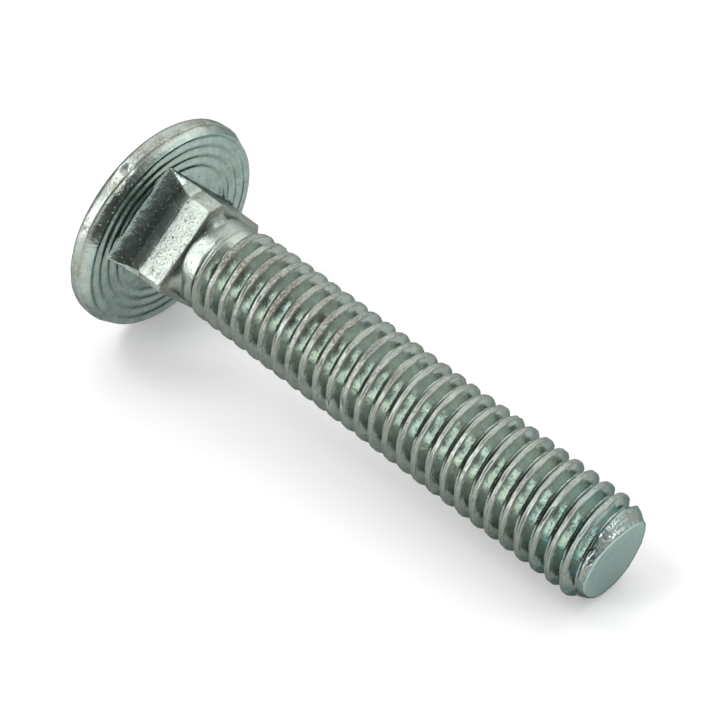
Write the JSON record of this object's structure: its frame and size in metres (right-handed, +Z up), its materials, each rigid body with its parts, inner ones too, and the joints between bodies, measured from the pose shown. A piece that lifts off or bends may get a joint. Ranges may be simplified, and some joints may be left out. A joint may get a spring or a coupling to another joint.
{
  "type": "carriage bolt",
  "caption": "Carriage bolt with a low domed round head, bearing rings under it, a square neck and a right-hand threaded shank.",
  "frame": {"origin": "on the surface that the bolt lies on, under the middle of its bounding box", "axes": "+X runs along the bolt from the head to the threaded end, seen from above; +Z is up; the bolt lies on its head's rim and its thread's end, so its own axis dips 6.5 degrees towards +X"},
  "size_m": [0.0556, 0.0206, 0.0206],
  "materials": {
    "zinc_steel": "bright zinc plating over steel, satin to glossy, scuffed and specked on the thread's crests"
  },
  "bodies": {
    "root": {"carriage_bolt": "zinc_steel"}
  },
  "joints": []
}
